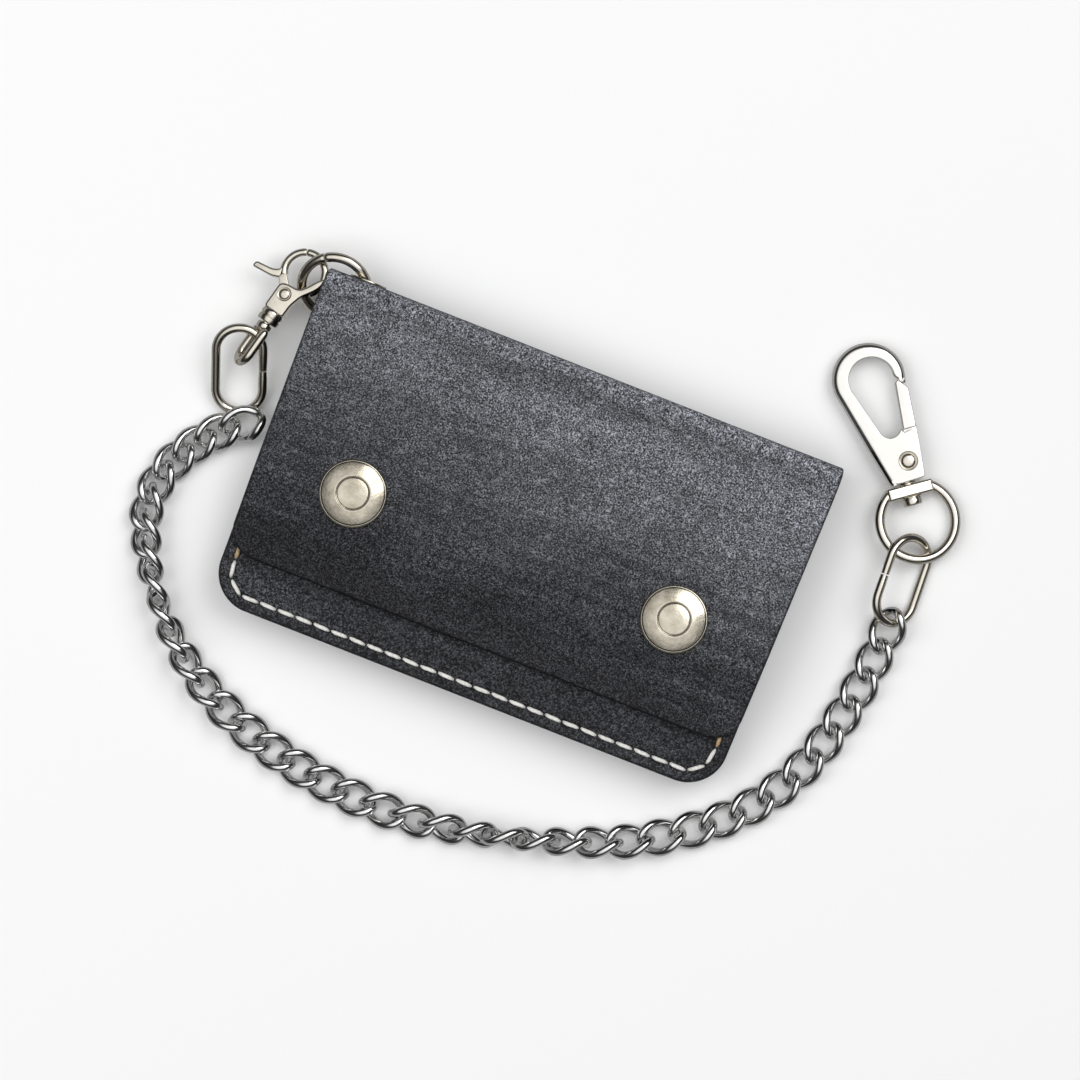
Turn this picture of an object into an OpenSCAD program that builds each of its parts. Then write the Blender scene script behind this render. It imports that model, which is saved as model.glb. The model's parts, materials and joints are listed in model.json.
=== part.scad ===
// Chain wallet: a leather wallet with a two-snap flap, and a curb chain with a hook at each end.
// The back face lies on Z = 0 with its centre at the origin. +X runs along the spine,
// +Y points at the spine and +Z is up through the flap.

/* [Leather] */
// Width of the wallet along the spine
wallet_w = 132; // [126:1:138]
// Height of the closed wallet, bottom edge to spine
wallet_h = 83.6; // [81:0.2:86]
// Width lost between the spine and the bottom edge
wallet_taper = 3.2; // [0:0.2:5]
// Radius of the two bottom corners
corner_r = 9.5; // [7:0.5:12]
// Thickness of the outer cover leather
cover_t = 2.2; // [1.8:0.1:2.4]
// Clear depth of the banknote compartment
bill_gap = 4.2; // [4.2:0.1:5]
// Strip of pocket left uncovered below the flap
pocket_strip = 12.3; // [10:0.1:14]
// Radius of the flap's two corners
flap_corner_r = 7; // [5:0.5:9]

/* [Snaps] */
// Distance between the two snaps
snap_spacing = 81.7; // [70:0.1:90]
// Position of the snaps along Y
snap_y = -6.2; // [-8:0.1:-4]
// Diameter of the snap cap
cap_d = 16.4; // [14:0.1:18]

/* [Stitching] */
// Distance from the seam to the edge of the leather
seam_inset = 3.2; // [2.8:0.1:4]
// Distance between stitches
stitch_pitch = 4.55; // [4:0.05:5]
// Length of one stitch
stitch_len = 3.7; // [3:0.1:3.8]
// Thread diameter
thread_d = 0.9; // [0.7:0.1:1]

/* [Wallet ring and trigger hook] */
// Mean radius of the ring through the spine
ring_r = 7.95; // [7.9:0.05:8]
// Wire diameter of the rings
ring_wire = 2.4; // [2.2:0.1:2.4]
// Mean radius of the trigger hook's claw
claw_r = 5; // [4.9:0.05:5.1]

/* [Chain] */
// Wire diameter of a curb link
link_wire = 2.1; // [1.9:0.1:2.1]
// Half length of a curb link's centre line
link_a = 5.15; // [5.1:0.05:5.2]
// Half width of a curb link's centre line
link_b = 3.55; // [3.5:0.05:3.6]
// Twist at each end of a curb link, in degrees
link_twist = 48; // [45:1:50]
// Wire diameter of the two long links
long_wire = 2.2; // [2:0.1:2.3]
// Outer width of the two long links
long_w = 13.4; // [13:0.1:14]
// Centre-line length of the two long links
long_len = 21.2; // [21:0.1:21.4]

/* [Belt hook] */
// Thickness of the belt hook's body
hook_t = 4.6; // [4.4:0.1:5]
// Outer radius of the belt hook's bow
bow_r = 8.8; // [8.6:0.1:9]
// Mean radius of the ring under the belt hook
swivel_ring_r = 9.25; // [9:0.05:9.4]

/* [Hidden] */
$fn = 48;

leather = [0.13, 0.14, 0.17];
nickel = [0.80, 0.77, 0.70];
steel = [0.45, 0.46, 0.48];
white_thread = [0.86, 0.85, 0.82];
tan_thread = [0.70, 0.56, 0.34];

// Clearance between pieces that turn on each other
gap = 0.3;
// Clearance between pieces that are pressed or riveted together
snug = 0.06;

// Leather layers, from the back face up
lining_t = 1.0;
card_panel_t = 1.8;
card_depth = 0.9;
card_w = 88;
card_drop = 56;
pocket_t = 2.2;
snap_gap = 3.2;
z_gusset = cover_t;
z_divider = z_gusset + bill_gap;
z_card = z_divider + lining_t;
z_pocket = z_card + card_panel_t;
z_front = z_pocket + pocket_t;
z_flap = z_front + snap_gap;
z_top = z_flap + cover_t;

// The fold: the flap turns about the middle of the leather at the spine's outer corner
y_bottom = -wallet_h / 2;
y_spine = wallet_h / 2 - cover_t;
y_axis = y_spine + cover_t / 2;
z_axis = z_flap + cover_t / 2;
y_flap_end = y_bottom + pocket_strip;
// The leather draws in a little where it folds
fold_w = wallet_w - 2.2;
y_divider_top = 27;
y_card_top = 21;
y_pocket_top = 13;
gusset_w = 6;

// Half width of the leather at a height y
function half_w(y) = wallet_w / 2 - wallet_taper / 2 * (wallet_h / 2 - y) / wallet_h;

// Points of a quarter circle, in steps round it
corner_steps = 14;
function corner(cx, cy, r, from) =
    [for (i = [0 : corner_steps]) let (a = from + 90 * i / corner_steps) [cx + r * cos(a), cy + r * sin(a)]];

// Outline of one leather panel between two heights, with its lower corners rounded
module sheet(y0, y1, r) {
    x0 = half_w(y0);
    polygon(concat([[half_w(y1), y1], [-half_w(y1), y1]],
        corner(r - x0, y0 + r, r, 180), corner(x0 - r, y0 + r, r, 270)));
}

module layer(z, t) {
    translate([0, 0, z])
        linear_extrude(t)
            children();
}

/* Outer cover */

module cover_back() {
    color(leather)
        difference() {
            layer(0, cover_t) sheet(y_bottom, y_spine, corner_r);
            stitch_groove();
        }
}

// Shallow channel in the back face that keeps the seam's thread off the surface below
module stitch_groove() {
    groove_w = thread_d + 0.6;
    depth = 0.6;
    inner_r = corner_r - seam_inset;
    x0 = half_w(y_bottom) - seam_inset;
    x1 = half_w(y_divider_top) - seam_inset;
    layer(-0.1, depth + 0.1) {
        translate([0, y_bottom + seam_inset])
            square([2 * (x0 - inner_r), groove_w], center = true);
        for (side = [-1, 1]) {
            translate([side * (x0 - inner_r), y_bottom + corner_r])
                intersection() {
                    difference() {
                        circle(inner_r + groove_w / 2);
                        circle(inner_r - groove_w / 2);
                    }
                    translate([side > 0 ? -0.1 : -corner_r, -corner_r])
                        square([corner_r + 0.1, corner_r + 0.1]);
                }
            polygon([for (p = [[x0 - groove_w / 2, y_bottom + corner_r], [x0 + groove_w / 2, y_bottom + corner_r],
                [x1 + groove_w / 2, y_divider_top], [x1 - groove_w / 2, y_divider_top]]) [side * p[0], p[1]]]);
        }
    }
}

module cover_spine() {
    color(leather)
        difference() {
            union() {
                translate([-fold_w / 2, y_spine, 0])
                    cube([fold_w, cover_t, z_axis]);
                translate([-fold_w / 2, y_axis, z_axis])
                    rotate([0, 90, 0])
                        cylinder(d = cover_t, h = fold_w);
            }
            grommet_place()
                translate([0, 0, -cover_t])
                    cylinder(r = grommet_barrel_r + snug, h = 3 * cover_t);
        }
}

module cover_flap() {
    color(leather)
        difference() {
            layer(z_flap, cover_t) sheet(y_flap_end, y_axis - cover_t / 2 - gap, flap_corner_r);
            for (side = [-1, 1])
                translate([side * snap_spacing / 2, snap_y, z_flap - 1])
                    cylinder(r = shank_r + snug, h = cover_t + 2);
        }
}

/* Inside */

module gusset() {
    color(leather)
        layer(z_gusset, bill_gap)
            difference() {
                sheet(y_bottom, y_divider_top, corner_r);
                translate([-half_w(y_bottom) + gusset_w, y_bottom + gusset_w])
                    square([2 * (half_w(y_bottom) - gusset_w), wallet_h]);
            }
}

module bill_divider() {
    color(leather)
        layer(z_divider, lining_t) sheet(y_bottom, y_divider_top, corner_r);
}

module card_panel() {
    color(leather)
        difference() {
            layer(z_card, card_panel_t) sheet(y_bottom, y_card_top, corner_r);
            translate([-card_w / 2, y_card_top - card_drop, z_card - 0.1])
                cube([card_w, card_drop + 1, card_depth + 0.1]);
        }
}

module pocket_face() {
    color(leather)
        difference() {
            layer(z_pocket, pocket_t) sheet(y_bottom, y_pocket_top, corner_r);
            translate([-half_w(y_bottom) + gusset_w, y_bottom + gusset_w, z_pocket - 0.1])
                cube([2 * (half_w(y_bottom) - gusset_w), wallet_h, card_depth + 0.1]);
            for (side = [-1, 1])
                translate([side * snap_spacing / 2, snap_y, z_pocket])
                    cylinder(r = shank_r + snug, h = pocket_t + 1);
        }
}

/* Stitching */

seam_r = corner_r - seam_inset;
seam_x = half_w(y_bottom) - seam_inset;
seam_corner_y = y_bottom + corner_r;
seam_arc = seam_r * PI / 2;
bottom_run = 2 * (seam_x - seam_r);
// The front thread turns up both corners, then the side thread takes over
front_count = 2 * floor((bottom_run / 2 + seam_arc) / stitch_pitch) + 1;
side_start = seam_corner_y + 1.2;
side_count = floor((y_divider_top - side_start) / stitch_pitch);

// Place along the seam at a distance s from the middle of the bottom edge: [x, y, heading]
function seam(s) =
    abs(s) < bottom_run / 2 ? [s, y_bottom + seam_inset, 0]
    : let (turn = (abs(s) - bottom_run / 2) / seam_r * 180 / PI)
        [sign(s) * (seam_x - seam_r + seam_r * sin(turn)), seam_corner_y - seam_r * cos(turn), sign(s) * turn];

module stitch() {
    linear_extrude(thread_d / 2 + 0.1) {
        square([stitch_len - thread_d, thread_d], center = true);
        for (end = [-1, 1])
            translate([end * (stitch_len - thread_d) / 2, 0])
                circle(d = thread_d, $fn = 16);
    }
}

module bottom_seam(z, lean) {
    for (i = [0 : front_count - 1]) {
        p = seam((i - (front_count - 1) / 2) * stitch_pitch);
        translate([p[0], p[1], z])
            rotate(p[2] + lean)
                stitch();
    }
}

module stitch_front() {
    color(white_thread) bottom_seam(z_front, -4);
}

module side_seam(heights) {
    for (side = [-1, 1], i = [0 : side_count - 1]) {
        y = side_start + (i + 0.5) * stitch_pitch;
        z = y < y_pocket_top - 2 ? heights[0] : y < y_card_top - 1.5 ? heights[1] : heights[2];
        on_edge = abs(y - y_pocket_top) < 2 || abs(y - y_card_top) < 2;
        if (!on_edge)
            translate([side * (half_w(y) - seam_inset), y, z])
                rotate(90 + side * atan(wallet_taper / 2 / wallet_h))
                    stitch();
    }
}

module stitch_sides() {
    color(tan_thread) side_seam([z_front, z_pocket, z_card]);
}

module stitch_back() {
    color(tan_thread) {
        bottom_seam(0.04, 0);
        side_seam([0.04, 0.04, 0.04]);
    }
}

/* Snaps */

shank_r = 2;
cap_rise = 2.4;
cap_ring_r = 4;
stud_r = 3.1;
stud_h = 2;
socket_bore = stud_r + 0.45;

module at_snap(side) {
    translate([side * snap_spacing / 2, snap_y, 0])
        children();
}

// Domed cap with a raised ring, and a shank through the flap that is rolled over in the socket
module snap_cap() {
    dome_r = ((cap_d / 2) ^ 2 + cap_rise ^ 2) / (2 * cap_rise);
    translate([0, 0, z_top]) {
        intersection() {
            translate([0, 0, cap_rise - dome_r])
                sphere(dome_r, $fn = 96);
            cylinder(d = cap_d, h = cap_rise + 1);
        }
        cylinder(d = cap_d, h = 0.5);
        translate([0, 0, cap_rise - 0.75])
            rotate_extrude()
                translate([cap_ring_r, 0.2])
                    circle(0.35, $fn = 16);
    }
    translate([0, 0, z_flap - 0.9])
        cylinder(r = shank_r, h = cover_t + 1.4);
    translate([0, 0, z_flap - 1])
        cylinder(r = shank_r + 0.7, h = 0.4);
}

module snap_socket() {
    translate([0, 0, z_flap])
        mirror([0, 0, 1])
            difference() {
                union() {
                    cylinder(r = 6.2, h = 0.45);
                    cylinder(r = 5.1, h = 2.3);
                }
                translate([0, 0, 0.55])
                    cylinder(r = socket_bore, h = 3);
                translate([0, 0, -1])
                    cylinder(r = shank_r + snug, h = 3);
            }
}

module snap_stud() {
    translate([0, 0, z_front])
        difference() {
            union() {
                cylinder(r = 5.6, h = 0.5);
                cylinder(r = stud_r - 0.4, h = stud_h);
                translate([0, 0, stud_h - 0.9])
                    cylinder(r = stud_r, h = 0.9);
            }
            translate([0, 0, -1])
                cylinder(r = shank_r + snug, h = 1.8);
        }
}

module snap_post() {
    translate([0, 0, z_pocket + card_depth - 0.6]) {
        cylinder(r = 4.8, h = 0.55);
        cylinder(r = shank_r, h = 0.6 + pocket_t - card_depth + 0.7);
    }
}

module snap_cap_left() { color(nickel) at_snap(-1) snap_cap(); }
module snap_cap_right() { color(nickel) at_snap(1) snap_cap(); }
module snap_socket_left() { color(nickel) at_snap(-1) snap_socket(); }
module snap_socket_right() { color(nickel) at_snap(1) snap_socket(); }
module snap_stud_left() { color(nickel) at_snap(-1) snap_stud(); }
module snap_stud_right() { color(nickel) at_snap(1) snap_stud(); }
module snap_post_left() { color(nickel) at_snap(-1) snap_post(); }
module snap_post_right() { color(nickel) at_snap(1) snap_post(); }

/* Grommet and wallet ring */

ring_centre = [-63.2, 38, 7.6];
// The ring leans up towards +Y about a line turned a little from X
ring_lean = 30;
ring_turn = 5.5;
grommet_x = -56.1;
grommet_z = 8.75;
grommet_bore_r = 3.1;
grommet_barrel_r = 3.6;
grommet_flange_r = 4.6;
flange_t = 0.5;

// Z of this frame runs along +Y, with its origin on the spine's inner face
module grommet_place() {
    translate([grommet_x, y_spine, grommet_z])
        rotate([-90, 0, 0])
            children();
}

module grommet() {
    color(nickel)
        grommet_place()
            difference() {
                union() {
                    translate([0, 0, -flange_t])
                        cylinder(r = grommet_barrel_r, h = cover_t + 2 * flange_t);
                    translate([0, 0, cover_t])
                        cylinder(r = grommet_flange_r, h = flange_t);
                }
                translate([0, 0, -1])
                    cylinder(r = grommet_bore_r, h = cover_t + 2);
            }
}

module grommet_washer() {
    color(nickel)
        grommet_place()
            translate([0, 0, -flange_t])
                difference() {
                    cylinder(r = grommet_flange_r, h = flange_t);
                    translate([0, 0, -1])
                        cylinder(r = grommet_barrel_r + snug, h = flange_t + 2);
                }
}

// Round wire ring in the XY plane with a butt joint in the wire
module wire_ring(r, wire, seam_angle) {
    seam_w = 0.12;
    rotate(seam_angle)
        rotate_extrude(angle = 360 - seam_w / r * 180 / PI)
            translate([r, 0])
                circle(d = wire, $fn = 24);
}

module wallet_ring() {
    color(nickel)
        translate(ring_centre)
            rotate([0, 0, ring_turn])
                rotate([ring_lean, 0, 0])
                    wire_ring(ring_r, ring_wire, 84);
}

/* Trigger hook: X is across the hook, Y points at its nose, the rivet is the origin */

trigger_at = [-73.3, 31.95, 7.6];
trigger_turn = -14;
trigger_roll = -9;
claw_centre = [0.54, 6.9];
claw_w = 1.8;
claw_t = 1.9;
claw_split = 118;
cheek_z = 0.95;
body_z = 2.1;
arm_z = 0.3;
rivet_r = 1.1;
collar_end = -8;

module trigger_frame() {
    translate(trigger_at)
        rotate([0, 0, trigger_turn])
            rotate([0, trigger_roll, 0])
                children();
}

// Part of the claw between two angles, in plan
module claw_arc(from, to, w) {
    steps = 24;
    outer = claw_r + w / 2;
    inner = claw_r - w / 2;
    translate(claw_centre)
        polygon(concat(
            [for (i = [0 : steps]) let (a = from + (to - from) * i / steps) outer * [cos(a), sin(a)]],
            [for (i = [steps : -1 : 0]) let (a = from + (to - from) * i / steps) inner * [cos(a), sin(a)]]));
}

module trigger_plan() {
    polygon([[-2.6, -5], [2.7, -5], [2.75, -1.5], [3.6, 1.6], [4.7, 3.3], [5.9, 5.2], [6.35, 7.2],
        [5.9, 8.6], [4.7, 7.2], [3.5, 4.6], [2.3, 2.9], [0.5, 2.6], [-0.9, 2.5], [-2.6, 1.7]]);
}

module trigger_body() {
    color(nickel)
        trigger_frame()
            difference() {
                union() {
                    // The plate is full depth round the rivet; the arm stays shallow to pass over the ring
                    layer(-body_z, 2 * body_z) {
                        circle(2.4);
                        translate([-2.6, -5])
                            square([5.3, 5]);
                    }
                    layer(-arm_z, arm_z + body_z) trigger_plan();
                    layer(-claw_t / 2, claw_t) claw_arc(-38, claw_split - 1.4, claw_w);
                    translate([0, -5, 0])
                        rotate([90, 0, 0])
                            cylinder(r = 2.7, h = -collar_end - 5);
                }
                // Slot for the lever, open to the left and to the claw
                translate([-5, -3.2, -cheek_z])
                    cube([7.3, 8, 2 * cheek_z]);
                translate([0, 0, -5])
                    cylinder(r = rivet_r + 0.05, h = 10);
                // Bore for the swivel's stem, with a wider pocket for its head
                translate([0, collar_end - 1, 0])
                    rotate([-90, 0, 0])
                        cylinder(r = stem_r + 0.1, h = 5);
                translate([0, -6.2, 0])
                    rotate([-90, 0, 0])
                        cylinder(r = stem_head_r + 0.15, h = 2.6);
            }
}

module trigger_rivet() {
    color(nickel)
        trigger_frame()
            translate([0, 0, -body_z - 0.25]) {
                cylinder(r = rivet_r, h = 2 * body_z + 0.5);
                cylinder(r = 1.75, h = 0.25);
                translate([0, 0, 2 * body_z + 0.25])
                    cylinder(r = 1.75, h = 0.35);
            }
}

module trigger_lever() {
    lever_t = 2 * cheek_z - 0.3;
    color(nickel)
        trigger_frame()
            difference() {
                union() {
                    layer(-lever_t / 2, lever_t) {
                        circle(1.9);
                        polygon([[-1.9, 0], [-0.4, -1.8], [1.2, 1.2], [-0.5, 2.1], [-3, 4.4], [-4.2, 3]]);
                    }
                    layer(-claw_t / 2, claw_t) {
                        claw_arc(claw_split + 1.4, 216, claw_w);
                        // Thumb tab
                        polygon([[-10.6, 2.4], [-10.7, 1.3], [-5.2, 2.2], [-3.2, 3.1], [-4.6, 5.2], [-5.6, 3.5]]);
                    }
                }
                translate([0, 0, -5])
                    cylinder(r = rivet_r + 0.2, h = 10);
                // Relief so that the thick claw stays clear of the cheeks
                for (z = [-5, lever_t / 2])
                    translate([-2.95, -4, z])
                        cube([8, 7, 5 - lever_t / 2]);
            }
}

stem_r = 1.1;
stem_head_r = 1.7;
swivel_roll = 56.7;
eye_wire = 2.2;
eye_bar = 1.5;
eye_half_w = 2.95;
eye_tip = -19.2;
eye_top = -9.8;

// Stirrup eye on a stem that turns in the trigger hook's collar
module trigger_swivel() {
    straight = eye_top - (eye_tip + eye_half_w);
    color(nickel)
        trigger_frame() {
            rotate([-90, 0, 0])
                translate([0, 0, eye_top - 0.2])
                    cylinder(r = stem_r, h = -eye_top - 5.6);
            rotate([-90, 0, 0])
                translate([0, 0, -6])
                    cylinder(r = stem_head_r, h = 2.2);
            rotate([0, -swivel_roll, 0]) {
                translate([0, eye_top, 0])
                    rotate([-90, 0, 0])
                        cylinder(r = 1.9, h = collar_end - gap - eye_top);
                translate([-eye_half_w - eye_wire / 2, eye_top - eye_bar / 2, -eye_wire / 2])
                    cube([2 * eye_half_w + eye_wire, eye_bar, eye_wire]);
                for (side = [-1, 1])
                    translate([side * eye_half_w, eye_tip + eye_half_w, 0])
                        rotate([-90, 0, 0])
                            cylinder(d = eye_wire, h = straight, $fn = 24);
                translate([0, eye_tip + eye_half_w, 0])
                    rotate(180)
                        rotate_extrude(angle = 180)
                            translate([eye_half_w, 0])
                                circle(d = eye_wire, $fn = 24);
            }
        }
}

/* Long links */

// Oblong wire link along Y with a butt joint half way up one side
module long_link(seam_side) {
    bend_r = (long_w - long_wire) / 2;
    straight = long_len - 2 * bend_r;
    seam_w = 0.12;
    difference() {
        union() {
            for (end = [-1, 1])
                translate([0, end * straight / 2, 0])
                    rotate(end > 0 ? 0 : 180)
                        rotate_extrude(angle = 180)
                            translate([bend_r, 0])
                                circle(d = long_wire, $fn = 24);
            for (side = [-1, 1])
                translate([side * bend_r, -straight / 2, 0])
                    rotate([-90, 0, 0])
                        cylinder(d = long_wire, h = straight, $fn = 24);
        }
        translate([seam_side * bend_r - 2, -seam_w / 2, -2])
            cube([4, seam_w, 4]);
    }
}

long_a_at = [-77.33, 11.41, 5.03];
long_a_turn = 19.3;
long_a_pitch = 21.7;

module long_link_a() {
    color(nickel)
        translate(long_a_at)
            rotate([0, 0, long_a_turn])
                rotate([long_a_pitch, 0, 0])
                    long_link(1);
}

long_b_at = [88.65, 22.3, 4.35];
long_b_turn = 2.5;
long_b_roll = 35;

module long_link_b() {
    color(nickel)
        translate(long_b_at)
            rotate([0, 0, long_b_turn])
                rotate([0, long_b_roll, 0])
                    long_link(-1);
}

/* Curb chain */

// Where the chain heads, in degrees, at some of its links
course = [[1, -91], [5, -105], [9, -138], [13, -159], [17, -167], [21, -183], [25, -198],
    [29, -222], [33, -245], [36, -295], [39, -326]];
// Distance from one link's centre to the next, at some of the links
spacing = [[1, 7.8], [25, 7.35], [30, 7], [33, 6.35], [39, 6.25]];
// Roll about the chain's own line, at some of the links
roll = [[1, 0], [10, 0], [15.5, 88], [21, 180], [25, 184], [30.5, 272], [36, 360],
    [38, 362.7], [39, 369.2]];
// Lift off the surface where the chain's ends hang in the long links, and the tilt that goes with it
lift = [[1, 0.7], [2, 0.1], [3, 0], [36, 0], [37, 0.15], [38, 0.3], [39, 1.01]];
tilt = [[1, 5.7], [2, 1], [3, 0], [36, 0], [37, -2], [38, -4], [39, -17]];
first_link = [89.8, 9.7];
links_per_run = 3;
link_steps = 22;
wire_sides = 8;

function link_xy(i) = i <= 1 ? first_link
    : let (back = link_xy(i - 1), h = lookup(i - 0.5, course))
        back + lookup(i, spacing) * [cos(h), sin(h)];

// Centre line of one link: an oval, twisted about its own length
function oval(t) = let (turn = -link_twist * cos(t)) [link_a * cos(t),
    link_b * sin(t) * cos(turn), link_b * sin(t) * sin(turn)];

// Height at which a link with this roll rests on the surface
function rest_z(r) = link_wire / 2 + max([for (t = [0 : 15 : 345]) let (p = oval(t))
    -(p[1] * sin(r) + p[2] * cos(r))]);

module curb_link() {
    rings = [for (i = [0 : link_steps - 1]) let (t = 360 * i / link_steps, p = oval(t),
        ahead = oval(t + 2) - oval(t - 2), out = [cos(t) / link_a, p[1] / link_b ^ 2, p[2] / link_b ^ 2],
        e1 = cross(ahead, out) / norm(cross(ahead, out)), e2 = cross(e1, ahead) / norm(ahead))
        for (k = [0 : wire_sides - 1]) let (a = 360 * (k + 0.5) / wire_sides)
            p + link_wire / 2 / cos(180 / wire_sides) * 0.985 * (cos(a) * e1 + sin(a) * e2)];
    polyhedron(rings, [for (i = [0 : link_steps - 1], k = [0 : wire_sides - 1], half = [0, 1])
        let (n = (i + 1) % link_steps, m = (k + 1) % wire_sides)
            half == 0 ? [i * wire_sides + k, i * wire_sides + m, n * wire_sides + m]
            : [i * wire_sides + k, n * wire_sides + m, n * wire_sides + k]]);
}

module chain_run(run) {
    color(steel)
        for (i = [(run - 1) * links_per_run + 1 : run * links_per_run]) {
            r = lookup(i, roll);
            translate([link_xy(i)[0], link_xy(i)[1], rest_z(r) + lookup(i, lift)])
                rotate([0, lookup(i, tilt), lookup(i, course)])
                    rotate([r, 0, 0])
                        curb_link();
        }
}

module chain_01() chain_run(1);
module chain_02() chain_run(2);
module chain_03() chain_run(3);
module chain_04() chain_run(4);
module chain_05() chain_run(5);
module chain_06() chain_run(6);
module chain_07() chain_run(7);
module chain_08() chain_run(8);
module chain_09() chain_run(9);
module chain_10() chain_run(10);
module chain_11() chain_run(11);
module chain_12() chain_run(12);
module chain_13() chain_run(13);

/* Belt hook: Y runs along the hook to its bow, the gate's rivet is the origin */

hook_at = [79.55, 49.4, 3.3];
hook_turn = 36.6;
// The ring under its near end lifts it a little
hook_tilt = -1.6;
stem_x = -1.5;
bow_centre = [-3.9, 21.3];
bow_hole_r = 5.6;
block_y = -6.9;
block_w = 3;
hook_stem_r = 1.5;
hook_head_r = 2.3;
gate_t = 2;
gate_slot = gate_t + 2 * 0.15;
hook_rivet_r = 1.3;
ring_roll = 9.3;

module hook_frame() {
    translate(hook_at)
        rotate([0, 0, hook_turn])
            rotate([hook_tilt, 0, 0])
                children();
}

module hook_plan() {
    difference() {
        union() {
            translate(bow_centre)
                circle(bow_r, $fn = 96);
            polygon([[-12.5, 19.6], [-5.8, -4.9], [2.9, -4.6], [3.9, 5.4], [2.6, 6.9], [0.6, 8.2], [-2, 12]]);
            translate([2.3, 5.5])
                circle(1.6);
        }
        // Opening: round at the bow, narrowing to a rounded foot
        translate([-3.35, 20.9])
            circle(bow_hole_r, $fn = 96);
        translate([-2.2, 9])
            circle(2.7);
        polygon([[-8.8, 19.7], [-4.6, 7.8], [-2.2, 6.3], [0.4, 8.2], [0.9, 6.9], [2.2, 20.9]]);
        // Mouth, closed by the gate
        polygon([[0.2, 8.6], [1.6, 19.6], [2.4, 20.3], [5.3, 17], [9, 16], [8, 7.2], [3.4, 7.2]]);
    }
}

module hook_body() {
    color(nickel)
        hook_frame()
            difference() {
                union() {
                    layer(-hook_t / 2, hook_t) hook_plan();
                    // Neck and stem that carry the swivel ring, with a riveted end
                    translate([stem_x, -4.5, 0])
                        rotate([90, 0, 0])
                            cylinder(r = 2.1, h = 0.7);
                    translate([stem_x, -4.5, 0])
                        rotate([90, 0, 0])
                            cylinder(r = hook_stem_r, h = 4.8);
                    translate([stem_x, block_y - block_w / 2 - gap, 0])
                        rotate([90, 0, 0])
                            cylinder(r = hook_head_r, h = 2);
                }
                // Slot for the gate
                translate([-6.2, -2.4, -gate_slot / 2])
                    cube([14, 24, gate_slot]);
                translate([0, 0, -5])
                    cylinder(r = hook_rivet_r + 0.05, h = 10);
            }
}

module hook_rivet() {
    color(nickel)
        hook_frame()
            translate([0, 0, -hook_t / 2 - 0.3]) {
                cylinder(r = hook_rivet_r, h = hook_t + 0.6);
                cylinder(r = 2.3, h = 0.3);
                translate([0, 0, hook_t + 0.3])
                    cylinder(r = 2.35, h = 0.6);
            }
}

module hook_gate() {
    color(nickel)
        hook_frame()
            difference() {
                layer(-gate_t / 2, gate_t) {
                    circle(2.2);
                    polygon([[-1.9, 1], [2, -0.9], [3.9, 5.5], [4.6, 16.9], [2.6, 19.5], [1.9, 18.9], [0.7, 7]]);
                }
                translate([0, 0, -5])
                    cylinder(r = hook_rivet_r + 0.2, h = 10);
            }
}

// Ring with a flat block across it, which the hook's stem turns in
module swivel_ring() {
    centre_y = block_y - sqrt(swivel_ring_r ^ 2 - 5.4 ^ 2);
    cut = asin(5.4 / swivel_ring_r);
    color(nickel)
        hook_frame()
            translate([stem_x, 0, 0])
                rotate([0, ring_roll, 0])
                    difference() {
                        union() {
                            translate([0, centre_y, 0])
                                rotate(90 + cut)
                                    rotate_extrude(angle = 360 - 2 * cut)
                                        translate([swivel_ring_r, 0])
                                            circle(d = ring_wire, $fn = 24);
                            translate([-5.6, block_y - block_w / 2, -1.9])
                                cube([11.2, block_w, 3.8]);
                        }
                        translate([0, block_y - 5, 0])
                            rotate([-90, 0, 0])
                                cylinder(r = hook_stem_r + 0.1, h = 10);
                    }
}

cover_back();
cover_spine();
cover_flap();
gusset();
bill_divider();
card_panel();
pocket_face();
stitch_front();
stitch_sides();
stitch_back();
snap_cap_left();
snap_cap_right();
snap_socket_left();
snap_socket_right();
snap_stud_left();
snap_stud_right();
snap_post_left();
snap_post_right();
grommet();
grommet_washer();
wallet_ring();
trigger_body();
trigger_rivet();
trigger_lever();
trigger_swivel();
long_link_a();
chain_01();
chain_02();
chain_03();
chain_04();
chain_05();
chain_06();
chain_07();
chain_08();
chain_09();
chain_10();
chain_11();
chain_12();
chain_13();
long_link_b();
swivel_ring();
hook_body();
hook_rivet();
hook_gate();
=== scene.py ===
"""Chain wallet: the looks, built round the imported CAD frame. Lengths inside the helpers are in millimetres."""
import json
import math

import bmesh
import bpy
import numpy as np
from mathutils import Matrix, Vector
from mathutils.geometry import tessellate_polygon

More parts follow.
